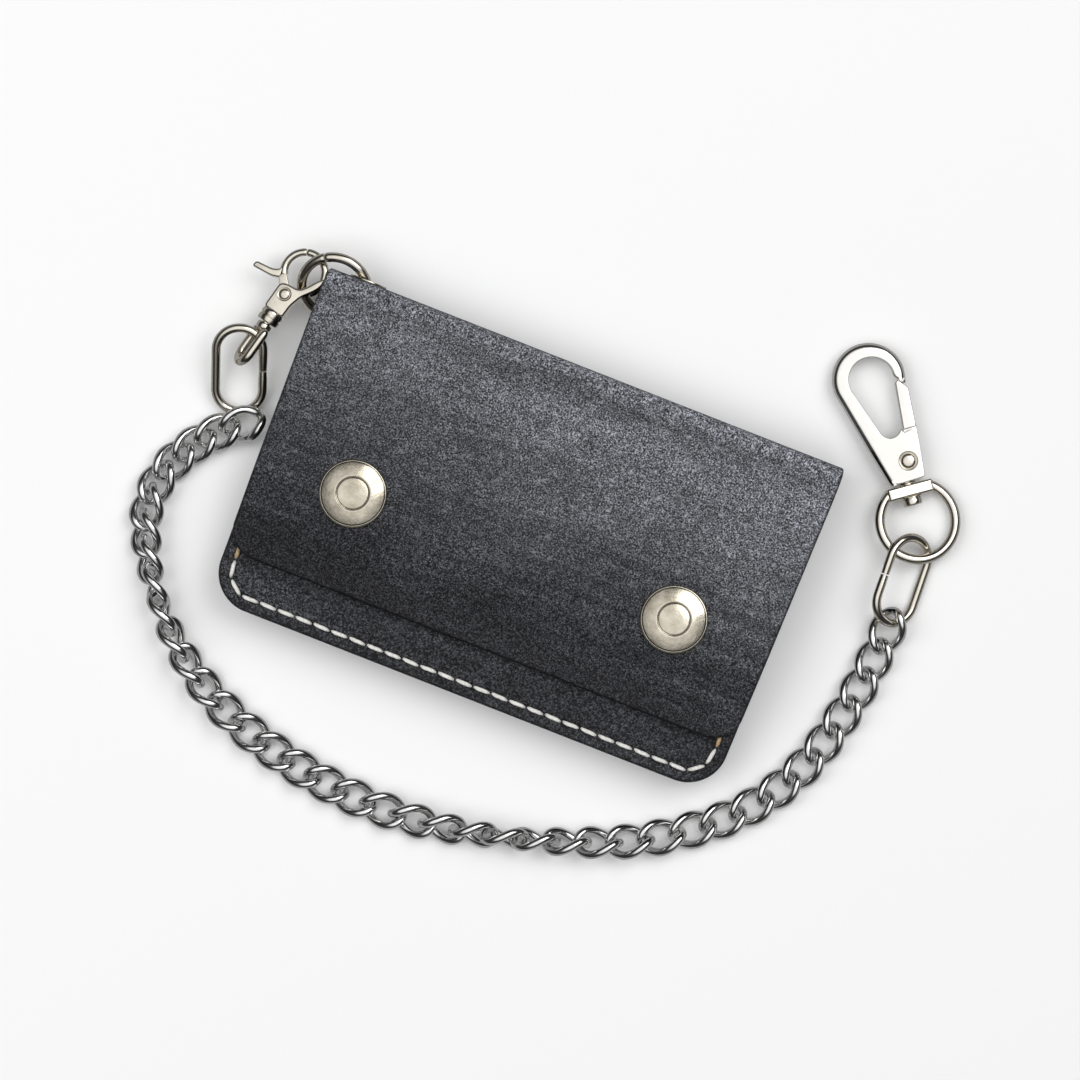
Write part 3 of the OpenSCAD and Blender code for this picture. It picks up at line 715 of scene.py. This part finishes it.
def seam_dent(y0, lean):
    """How far the thread has pulled a sheet in: a soft channel, deeper where the thread goes in."""
    holes = []
    for x, y, heading in FRONT_STITCHES + SIDE_STITCHES:
        a = math.radians(heading + (lean if y < SEAM_CORNER_Y else 0))
        for end in (-1, 1):
            holes.append((x + end * STITCH_LEN / 2 * math.cos(a), y + end * STITCH_LEN / 2 * math.sin(a)))
    holes = np.array(holes)

    def dent(x, s):
        y = y0 + s
        if y < SEAM_CORNER_Y:
            dx = max(abs(x) - (SEAM_X - SEAM_R), 0)
            off = abs(math.hypot(dx, SEAM_CORNER_Y - y) - SEAM_R)
        else:
            off = abs(half_w(y) - SEAM_INSET - abs(x))
        if off > 2.5:
            return 0.0
        near = np.hypot(holes[:, 0] - x, holes[:, 1] - y).min()
        return 0.16 * math.exp(-(off / 0.8) ** 2) + 0.42 * math.exp(-(near / 0.55) ** 2)
    return dent


def stitches(name, places, z, up, material, slot, node, lean=0.0):
    """Thread that rises out of one hole, lies on the leather and goes into the next. z is one height or z(y)."""
    parts = []
    for index, (x, y, heading) in enumerate(places):
        level = z(y) if callable(z) else z
        wobble = math.sin(index * 2.4 + len(places)) * 1.6
        t = np.linspace(-1, 1, 15)
        arch = 0.30 - 0.95 * np.abs(t) ** 5
        path = np.c_[t * STITCH_LEN / 2, 0.05 * np.sin(t * 3), up * arch * THREAD_D]
        radius = THREAD_D / 2 * (1 - 0.38 * np.abs(t) ** 4)
        matrix = frame_at((x, y, level), ("Z", heading + lean + wobble))
        parts.append(moved(sweep(path, radius, False, 12, squash=1.08), matrix))
    piece(name, *merge(parts), material, "wallet", slot, [node])


def cut_area(width, length, corners):
    """Flat area in square metres of a panel with this half width along its length and these corner radii."""
    strips = 200
    area = sum(2 * width((i + 0.5) * length / strips) for i in range(strips)) * length / strips
    return (area - sum((2 - math.pi / 2) * r * r for r in corners)) * MM * MM


def make_leather():
    profile = cover_profile()
    spine_s = float(profile.s[np.abs(profile.p - [Y_AXIS, Z_AXIS / 2]).sum(1).argmin()])

    def cover_width(s):
        y, _ = profile.at(s)
        draw = 1.1 * math.exp(-((s - spine_s) / 9.0) ** 2)
        return half_w(y) - draw

    # Painted light and shade on the cover, on top of the bloom: paler towards the upper right as a painted sheen of
    # the key light on the curved leather, pale along the fold as a painted highlight, and dark just below the fold as
    # painted shade
    def cover_wax_and_lighting(x, s):
        y, z = profile.at(s)
        if z < 3:
            return 0.42 + 0.006 * (y - 5) + 0.0015 * x
        if z < 14:
            return 0.60 if y > 39 else 0.44 + 0.0135 * y + 0.0016 * x
        paleness_and_lighting = 0.44 + 0.0135 * y + 0.0016 * x * min(max((y + 16) / 14, -1), 1)
        # The bend just below the fold is painted dark, as shade, and the fold itself is painted pale, as its
        # highlight with some wear
        paleness_and_lighting -= 0.28 * math.exp(-((y - 36.0) / 2.9) ** 2) * (0.45 + 0.55 * min(1, abs(x + 75) / 70))
        return paleness_and_lighting + 0.10 * (y > 39.3)

    corners = (CORNER_R, FLAP_CORNER_R)
    cover = leather_sheet("cover_leather", profile, cover_width, corners, COVER_T, None,
                          ["cover_back", "cover_spine", "cover_flap"], pitch=1.9, bloom_and_lighting=cover_wax_and_lighting,
                          blend=("wallet", "flap", (0, 0.0407, 0.0125), (0, 0.04045, 0.01528)),
                          hole=(GROMMET_AT, (0, 1, 0), GROMMET_HOLE_R))
    hole_area = math.pi * GROMMET_HOLE_R ** 2 * MM * MM
    cut_area(cover_width, profile.s[-1], corners) - hole_area

    def inner_width(s):
        return half_w(Y_BOTTOM + s) - PANEL_INSET

    def pocket_width(s):
        return half_w(Y_BOTTOM + s)

    thin = {"pitch": 2.4, "material": LEATHER_IN, "round_over": 0.45}
    for name, node, y_top, z, thickness, width, details in (
            ("divider_leather", "bill_divider", Y_DIVIDER, DIVIDER_Z, DIVIDER_T, inner_width, thin),
            ("card_leather", "card_panel", Y_CARD, CARD_Z, CARD_T, inner_width, thin),
            ("pocket_leather", "pocket_face", Y_POCKET, POCKET_Z, POCKET_T, pocket_width,
             {"pitch": 0.65, "near": 0.3, "dents": seam_dent(Y_BOTTOM, STITCH_LEAN)})):
        panel = leather_sheet(name, flat_profile(Y_BOTTOM, y_top, z + thickness / 2), width, (CORNER_R, 0),
                              thickness, "wallet", [node], **details)
        cut_area(width, y_top - Y_BOTTOM, (CORNER_R,))


def make_gusset():
    """Two plies of leather round three sides of the note compartment, seen at the wallet's edges."""
    outline = [(-half_w(Y_DIVIDER), Y_DIVIDER)]
    corner = (half_w(Y_BOTTOM) - CORNER_R, Y_BOTTOM + CORNER_R)
    outline += arc((-corner[0], corner[1]), CORNER_R, 180, 270, 14)
    outline += arc(corner, CORNER_R, 270, 360, 14)
    outline += [(half_w(Y_DIVIDER), Y_DIVIDER)]
    fine = []
    for a, b in zip(outline, outline[1:]):
        n = max(1, int(math.dist(a, b) / 4))
        fine += [tuple(np.array(a) + (np.array(b) - a) * k / n) for k in range(n)]
    path = np.array(fine + [outline[-1]])
    ahead = np.gradient(path, axis=0)
    ahead /= np.linalg.norm(ahead, axis=1)[:, None]
    inward = np.c_[-ahead[:, 1], ahead[:, 0]]
    z0, z1, mid = 2.22, 6.38, 4.3
    section = [(0.30, z0), (0.10, z0 + 0.12), (0.0, z0 + 0.45), (0.0, mid - 0.45), (0.08, mid - 0.15), (0.28, mid),
               (0.08, mid + 0.15), (0.0, mid + 0.45), (0.0, z1 - 0.45), (0.10, z1 - 0.12), (0.30, z1),
               (5.7, z1), (5.9, z1 - 0.3), (5.9, z0 + 0.3), (5.7, z0)]
    verts, faces = [], []
    n = len(section)
    for p, d in zip(path, inward):
        verts += [(p[0] + d[0] * off, p[1] + d[1] * off, z) for off, z in section]
    for i in range(len(path) - 1):
        for k in range(n):
            m = (k + 1) % n
            faces.append((i * n + k, i * n + m, (i + 1) * n + m, (i + 1) * n + k))
    faces += [tuple(range(n)), tuple((len(path) - 1) * n + k for k in reversed(range(n)))]
    marks = {"edge": [1.0 if off < 1 else 0.2 for off, z in section] * len(path), "bloom_and_lighting": [0.2] * len(verts),
             "rest": np.array(verts) * MM}
    piece("gusset_leather", verts, faces, LEATHER_IN, "wallet", "dark_leather", ["gusset"], None, 40, marks)


def side_height(y):
    return Z_FRONT if y < Y_POCKET - 2 else POCKET_Z if y < Y_CARD - 1.5 else CARD_Z


make_leather()
make_gusset()
side_places = [p for p in SIDE_STITCHES if abs(p[1] - Y_POCKET) >= 2 and abs(p[1] - Y_CARD) >= 2]
stitches("front_stitches", FRONT_STITCHES, Z_FRONT, 1, WHITE, "white_thread", "stitch_front", lean=STITCH_LEAN)
stitches("side_stitches", side_places, side_height, 1, TAN, "tan_thread", "stitch_sides")
stitches("back_stitches", FRONT_STITCHES + side_places, Z_BACK_THREAD, -1, TAN, "tan_thread", "stitch_back")

# ---------------------------------------------------------------- snaps and grommet

SNAP_X, SNAP_Y = 40.85, -6.2
Z_TOP = 16.8
CAP_RISE, CAP_DOME_R = 2.05, 20.0


def make_cap(name, side):
    """Domed snap cap with a raised ring between two fine grooves, a rolled rim and its shank."""
    def dome(r):
        return CAP_RISE - r * r / (2 * CAP_DOME_R)

    profile = [(r, dome(r)) for r in (0, 0.6, 1.2, 1.8, 2.4, 3.0, 3.4, 3.66)]
    profile += [(3.74, dome(3.7) - 0.05), (3.82, dome(3.8) + 0.05), (3.92, dome(3.9) + 0.09),
                (4.02, dome(4.0) + 0.05), (4.10, dome(4.1) - 0.05), (4.2, dome(4.2))]
    profile += [(r, dome(r)) for r in np.linspace(4.5, 7.6, 11)]
    profile += [(7.7, dome(7.7) - 0.05), (7.78, dome(7.78) - 0.02), (7.95, dome(7.95) - 0.06),
                (8.1, dome(8.1) - 0.16), (8.2, dome(8.2) - 0.36), (8.12, 0.08), (7.9, 0.0), (7.4, 0.0)]
    shank = [(0, -3.1), (2.7, -3.1), (2.7, -2.85), (2.0, -2.7), (2.0, 0.0), (7.4, 0.0)]
    cap = merge([lathe(profile, 128), lathe(shank, 64)])
    piece(f"cap_{name}", *cap, NICKEL_SATIN, "flap", "nickel_silver", [f"snap_cap_{name}"],
          frame_at((side * SNAP_X, SNAP_Y, Z_TOP)), 35)


make_cap("left", -1)
make_cap("right", 1)
for node in ("snap_socket_left", "snap_socket_right", "snap_stud_left", "snap_stud_right", "grommet_washer"):
    dress(node, NICKEL)
for node in ("snap_post_left", "snap_post_right", "grommet"):
    dress(node, NICKEL_SATIN)

# ---------------------------------------------------------------- rings and long links

RING_GAP, LINK_GAP, SEAM_TAPER = 0.28, 0.30, 0.90


def circle(radius, wire, seam_angle, steps=128):
    """Wire ring in the XY plane, with the two cut ends almost touching."""
    gap_angle = math.degrees(RING_GAP / radius)
    a = np.radians(np.linspace(seam_angle, seam_angle + 360 - gap_angle, steps))
    ends = np.ones(steps)
    ends[[0, -1]] = SEAM_TAPER
    return sweep(np.c_[radius * np.cos(a), radius * np.sin(a), 0 * a], wire / 2 * ends, False, 24)


def oblong(length, width, wire, seam_side):
    """Long link along Y with a butt joint half way up one side."""
    r = (width - wire) / 2
    straight = length - 2 * r
    top = arc((0, straight / 2), r, 0, 180, 26)
    bottom = arc((0, -straight / 2), r, 180, 360, 26)
    loop = [(r, LINK_GAP / 2), (r, straight / 4), *top, (-r, straight / 4), (-r, -straight / 4), *bottom,
            (r, -straight / 4), (r, -LINK_GAP / 2)]
    pts = [(x * seam_side, y) for x, y in loop]
    pts = [p for i, p in enumerate(pts) if i == 0 or math.dist(p, pts[i - 1]) > 1e-3]
    ends = np.ones(len(pts))
    ends[[0, -1]] = SEAM_TAPER
    return sweep([(x, y, 0) for x, y in pts], wire / 2 * ends, False, 24)


RING_FRAME = frame_at((-63.2, 38, 7.6), ("Z", 5.5), ("X", 30))
piece("ring_wallet", *circle(7.95, 2.36, 120), NICKEL, "spine_ring", "nickel_silver", ["wallet_ring"], RING_FRAME)
piece("link_long_a", *oblong(21.2, 13.4, 2.16, 1), NICKEL, "link_a", "nickel_silver", ["long_link_a"],
      frame_at((-77.33, 11.41, 5.03), ("Z", 19.3), ("X", 21.7)))
piece("link_long_b", *oblong(21.2, 13.4, 2.16, -1), NICKEL, "link_b", "nickel_silver", ["long_link_b"],
      frame_at((88.65, 22.3, 4.35), ("Z", 2.5), ("Y", 35)))

# ---------------------------------------------------------------- curb chain

COURSE = [[1, -91], [5, -105], [9, -138], [13, -159], [17, -167], [21, -183], [25, -198],
          [29, -222], [33, -245], [36, -295], [39, -326]]
SPACING = [[1, 7.8], [25, 7.35], [30, 7], [33, 6.35], [39, 6.25]]
ROLL = [[1, 0], [10, 0], [15.5, 88], [21, 180], [25, 184], [30.5, 272], [36, 360], [38, 362.7], [39, 369.2]]
LIFT = [[1, 0.7], [2, 0.1], [3, 0], [36, 0], [37, 0.15], [38, 0.3], [39, 1.01]]
TILT = [[1, 5.7], [2, 1], [3, 0], [36, 0], [37, -2], [38, -4], [39, -17]]
FIRST_LINK = (89.8, 9.7)
LINK_A, LINK_B, LINK_TWIST, LINK_WIRE = 5.15, 3.55, 48, 2.1
RUNS, RUN_LINKS = 13, 3


def oval(t):
    """Centre line of a curb link: an oval twisted about its length."""
    turn = -math.radians(LINK_TWIST) * np.cos(t)
    return np.stack([LINK_A * np.cos(t), LINK_B * np.sin(t) * np.cos(turn), LINK_B * np.sin(t) * np.sin(turn)], -1)


def curb_link(steps=72, sides=20):
    t = 2 * math.pi * np.arange(steps) / steps
    p = oval(t)
    out = np.stack([np.cos(t) / LINK_A, p[:, 1] / LINK_B ** 2, p[:, 2] / LINK_B ** 2], -1)
    return sweep(p, LINK_WIRE / 2 * 0.99, True, sides, out)


def make_chain():
    """Lays the links along the course, from the belt hook round to the wallet, as one piece for each run."""
    places, (x, y) = [], FIRST_LINK
    t15 = oval(np.radians(np.arange(0, 346, 15)))
    for i in range(1, RUNS * RUN_LINKS + 1):
        if i > 1:
            h = math.radians(lookup(i - 0.5, COURSE))
            x += lookup(i, SPACING) * math.cos(h)
            y += lookup(i, SPACING) * math.sin(h)
        r = math.radians(lookup(i, ROLL))
        z = LINK_WIRE / 2 + float((-(t15[:, 1] * math.sin(r) + t15[:, 2] * math.cos(r))).max()) + lookup(i, LIFT)
        places.append(frame_at((x, y, z), ("Z", lookup(i, COURSE)), ("Y", lookup(i, TILT)), ("X", lookup(i, ROLL))))
    link = curb_link()
    for run in range(RUNS):
        verts, faces = merge([moved(link, place) for place in places[run * RUN_LINKS:(run + 1) * RUN_LINKS]])
        piece(f"curb_links_{run + 1:02d}", verts, faces, STEEL, f"run_{run + 1:02d}", "curb_steel",
              [f"chain_{run + 1:02d}"])


make_chain()

# ---------------------------------------------------------------- trigger hook and belt hook

HOOK = frame_at((79.55, 49.4, 3.3), ("Z", 36.6), ("X", -1.6))
TRIGGER = frame_at((-73.3, 31.95, 7.6), ("Z", -14), ("Y", -9))
CLAW_CENTRE, CLAW_R = (0.54, 6.9), 5
BODY_Z = 2.1
HOOK_T = 4.6
GATE_SLOT = 2.3


def cut_slot(obj, place, centre, size):
    """Cuts a box out of a piece. centre and size are in millimetres, in the frame that the piece was made in."""
    slot = bmesh.new()
    at = Matrix.Translation(place.translation * MM) @ place.to_3x3().to_4x4()
    bmesh.ops.create_cube(slot, size=1, matrix=at @ Matrix.Translation(Vector(centre) * MM)
                          @ Matrix.Diagonal((*(Vector(size) * MM), 1)))
    cut_away(obj, slot)


def dense(points, step=0.8):
    """Adds points along the straight stretches of a closed outline."""
    out = []
    for a, b in zip(points, points[1:] + points[:1]):
        n = max(1, round(math.dist(a, b) / step))
        out += [(a[0] + (b[0] - a[0]) * k / n, a[1] + (b[1] - a[1]) * k / n) for k in range(n)]
    return out


def make_hook():
    bow, bow_r, hole, hole_r = (-3.9, 21.3), 8.8, (-3.35, 20.9), 5.55
    outline = [(-5.4, -4.9), (2.5, -4.62)]
    outline += arc((2.45, -4.1), 0.5, -80, -10, 4)
    outline += arc((2.3, 5.5), 1.6, -4, 98, 12)
    outline += [(1.15, 6.9)] + arc((0.95, 7.35), 0.45, 290, 190, 6)[1:]
    outline += arc((-2.2, 9), 2.7, -24, -152, 18)
    outline += arc(hole, hole_r, 194, 2, 54)
    outline += [(2.38, 20.35), (4.29, 18.15)]
    outline += arc(bow, bow_r, -20.5, 191, 80)
    outline += arc((-5.35, -4.4), 0.5, 195, 265, 4)
    outline = dense(outline)
    far = []
    for x, y in outline:
        on_bow = math.dist((x, y), bow) > bow_r - 0.1 and y > 17.5
        left = x < -12.45 + (19.6 - y) * 6.7 / 24.5 + 0.45
        far.append(1.0 if on_bow or left else 0.0)
    # The wide rounding fades out over a few points at each end
    far = np.array(far)
    for _ in range(5):
        far = (np.roll(far, 1) + far + np.roll(far, -1)) / 3
    radius = 0.22 + 1.45 * far ** 1.5
    body = piece("hook_frame", *plate(outline, -HOOK_T / 2, HOOK_T / 2, radius, 8), NICKEL_PAINTED_LIT, "hook",
                 "nickel_silver", ["hook_body"], HOOK, 28)
    cut_slot(body, HOOK, (0.8, 9.6, 0), (14, 24, GATE_SLOT))
    stem = [(0, -0.4), (2.1, -0.4), (2.1, 0.5), (1.95, 0.7), (1.5, 0.75), (1.5, 4.05), (1.95, 4.05), (2.2, 4.15),
            (2.3, 4.35), (2.3, 5.65), (2.2, 5.9), (1.95, 6.05), (0.9, 6.05), (0.8, 5.9), (0, 5.85)]
    piece("hook_stem", *lathe(stem, 48), NICKEL, "hook", "nickel_silver", (),
          HOOK @ frame_at((-1.5, -4.5, 0), ("X", 90)))
    root = arc((0, 0), 2.2, 150, 335, 20) + [(3.9, 5.5), (4.3, 12), (2.4, 12), (0.7, 7)]
    tip = [(0.86, 7.5), (4.0, 7.5), (4.6, 16.9), (2.66, 19.45), (1.95, 18.9)]
    gate = merge([plate(dense(root), -1, 1, 0.15, 3), plate(dense(tip, 0.6), -2.05, 2.05, 0.28, 4)])
    piece("gate_blade", *gate, NICKEL_PAINTED_LIT, "gate", "nickel_silver", ["hook_gate"], HOOK, 28)
    make_rivet("hook_rivet_dome", HOOK, HOOK_T / 2, 2.35, 0.85, "hook", "hook_rivet")


def make_rivet(name, matrix, top, r, rise, body, node):
    """Pin with a domed head in a shallow ring groove above, and a flat head below."""
    under = -2 * top
    head = [(0, 1), (0.2, 0.985), (0.4, 0.93), (0.58, 0.80), (0.70, 0.60), (0.76, 0.30), (0.80, 0.10),
            (0.86, 0.24), (0.93, 0.28), (1, 0.12)]
    profile = [(out * r, up * rise) for out, up in head]
    profile += [(r, 0), (0.6 * r, 0), (0.6 * r, under), (r, under), (r, under - 0.2), (0.9 * r, under - 0.3),
                (0, under - 0.3)]
    piece(name, *lathe(profile, 64), NICKEL, body, "nickel_silver", [node],
          matrix @ Matrix.Translation((0, 0, top)), 40)


def soften(points, rounds=2, keep=0.22):
    """Cuts the corners of a closed outline into a smooth curve."""
    for _ in range(rounds):
        out = []
        for a, b in zip(points, points[1:] + points[:1]):
            out += [tuple(a[i] + (b[i] - a[i]) * t for i in (0, 1)) for t in (keep, 1 - keep)]
        points = out
    return points


def make_swivel_ring():
    r, wire, block_y, half_block = 9.25, 2.4, -6.9, 5.4
    matrix = HOOK @ frame_at((-1.5, 0, 0), ("Y", 9.3))
    centre_y = block_y - math.sqrt(r * r - half_block ** 2)
    cut = math.degrees(math.asin(half_block / r))
    loop = [(x, y, 0) for x, y in arc((0, centre_y), r, 90 + cut - 4, 450 - cut + 4, 110)]
    ring = sweep(loop, wire / 2, False, 24)
    block = dense([(-5.6, -8.4), (5.6, -8.4), (5.6, -5.4), (-5.6, -5.4)], 0.7)
    lip = lathe([(1.65, 1.45), (2.5, 1.45), (2.6, 1.6), (2.6, 1.72), (2.45, 1.8), (1.65, 1.8), (1.65, 1.45)], 48)
    parts = [ring, plate(soften(block, 1, 0.3), -1.9, 1.9, 0.6, 5),
             moved(lip, frame_at((0, block_y, 0), ("X", 90)))]
    piece("ring_swivel", *merge(parts), NICKEL, "hook_ring", "nickel_silver", ["swivel_ring"], matrix, 32)


def make_trigger():
    """Trigger hook: a fixed claw on a forked body, the sprung lever with the other claw, and the swivelling eye."""
    plan = [(-2.6, -5), (2.7, -5), (2.75, -1.5), (3.6, 1.6), (4.7, 3.3), (5.9, 5.2), (6.45, 7.2), (5.9, 8.6),
            (4.7, 7.2), (3.5, 4.6), (2.3, 2.9), (0.5, 2.6), (-0.9, 2.5), (-2.6, 1.7)]
    smooth = soften(dense(plan, 2.0), 2, 0.25)
    cheeks = arc((0, 0), 2.4, -5, 185, 24)
    cheeks += [(-2.55, -2), (-2.6, -4.6), (-2.2, -5), (2.3, -5), (2.7, -4.6), (2.55, -2)]
    for name, shape, low, high, radius in (("trigger_arm", smooth, -0.3, BODY_Z, 0.55),
                                           ("trigger_cheeks", cheeks, -BODY_Z, 1.4, 0.35)):
        obj = piece(name, *plate(shape, low, high, radius, 5), NICKEL, "trigger", "nickel_silver", (), TRIGGER, 34)
        cut_slot(obj, TRIGGER, (-1.35, 0.8, 0), (7.3, 8, 1.9))
        if name == "trigger_arm":
            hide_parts("trigger_body")
    claw = [(x, y, 0) for x, y in arc(CLAW_CENTRE, CLAW_R, -40, 116.4, 44)]
    swell = 0.93 + 0.12 * np.exp(-(np.arange(45) / 7.0) ** 2)
    swell[-1] *= 0.88
    collar = [(0, 4.6), (2.3, 4.6), (2.5, 4.8), (2.65, 5.1), (2.7, 5.4), (2.7, 6.1), (2.5, 6.25), (2.5, 6.45),
              (2.7, 6.6), (2.7, 7.65), (2.6, 7.85), (2.4, 8.0), (1.25, 8.0), (1.2, 7.7), (0, 7.7)]
    parts = [sweep(claw, swell, False, 20), moved(lathe(collar, 56), frame_at((0, 0, 0), ("X", 90)))]
    piece("trigger_claw", *merge(parts), NICKEL, "trigger", "nickel_silver", (), TRIGGER, 34)
    make_rivet("trigger_rivet_dome", TRIGGER, BODY_Z, 1.75, 0.55, "trigger", "trigger_rivet")

    hub = arc((0, 0), 1.85, 180, 420, 24) + [(-0.5, 2.1), (-3, 4.4), (-4.2, 3)]
    tab = [(-10.75, 2.7), (-10.85, 1.15), (-8.2, 1.45), (-5.6, 1.75), (-3.5, 2.7), (-4.3, 5.3), (-5.3, 4.0),
           (-6.5, 3.4)]
    half = [(x, y, 0) for x, y in arc(CLAW_CENTRE, CLAW_R, 119.6, 217, 30)]
    swell = 0.93 + 0.10 * np.exp(-((30 - np.arange(31)) / 6.0) ** 2)
    swell[0] *= 0.88
    parts = [plate(dense(hub, 0.6), -0.78, 0.78, 0.12, 3), sweep(half, swell, False, 20),
             plate(soften(dense(tab, 1.5), 2, 0.25), -0.95, 0.95, 0.5, 5)]
    piece("lever_claw", *merge(parts), NICKEL, "lever", "nickel_silver", ["trigger_lever"], TRIGGER, 34)

    top, bend, side, bar = -9.8, -16.25, 2.95, 0.8
    loop = [(-side, y) for y in np.linspace(top - bar, bend, 8)] + arc((0, bend), side, 180, 360, 28)[1:]
    loop += [(side, y) for y in np.linspace(bend, top - bar, 8)][1:]
    loop += arc((side - bar, top - bar), bar, 0, 90, 6)[1:] + [(0, top)]
    loop += arc((bar - side, top - bar), bar, 90, 180, 6)[:-1]
    thick = [0.76 if y > top - 0.5 else 1.1 for x, y in loop]
    thick = np.convolve(np.r_[thick[-2:], thick, thick[:2]], np.ones(5) / 5, "valid")
    stem = [(0, 4.3), (1.7, 4.3), (1.7, 5.9), (1.1, 5.9), (1.1, 8.3), (1.5, 8.3), (1.8, 8.45), (1.9, 8.7), (1.9, 9.4),
            (1.75, 9.8), (1.3, 10.15), (0, 10.25)]
    parts = [sweep([(x, y, 0) for x, y in loop], thick, True, 24),
             moved(lathe(stem, 48), frame_at((0, 0, 0), ("X", 90)))]
    piece("swivel_loop", *merge(parts), NICKEL, "swivel_eye", "nickel_silver", ["trigger_swivel"],
          TRIGGER @ rot("Y", -56.7), 34)


make_hook()
make_swivel_ring()
make_trigger()
